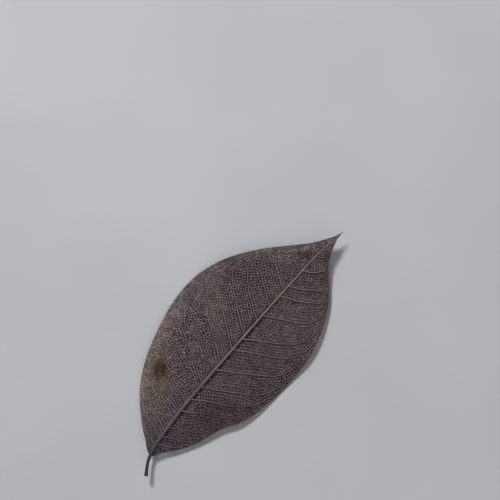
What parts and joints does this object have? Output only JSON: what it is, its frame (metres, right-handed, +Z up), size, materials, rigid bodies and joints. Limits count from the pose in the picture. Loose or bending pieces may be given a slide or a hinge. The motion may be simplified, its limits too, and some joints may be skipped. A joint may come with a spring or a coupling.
{
  "type": "skeleton leaf",
  "caption": "Dried skeleton leaf lying flat: a raised midrib with a short stem end, curved side veins, a margin vein and an open net of fine veins, dyed dull purple.",
  "frame": {"origin": "middle of the leaf's bounding box, on the surface that it lies on", "axes": "+Y from the stem end to the tip, +Z up through the face with the raised midrib, +X to the right seen from above"},
  "size_m": [0.0486, 0.105, 0.0062],
  "materials": {
    "vein_fibre": "dull dyed dry plant fibre"
  },
  "bodies": {
    "root": {"skeleton_leaf": "vein_fibre"}
  },
  "joints": []
}
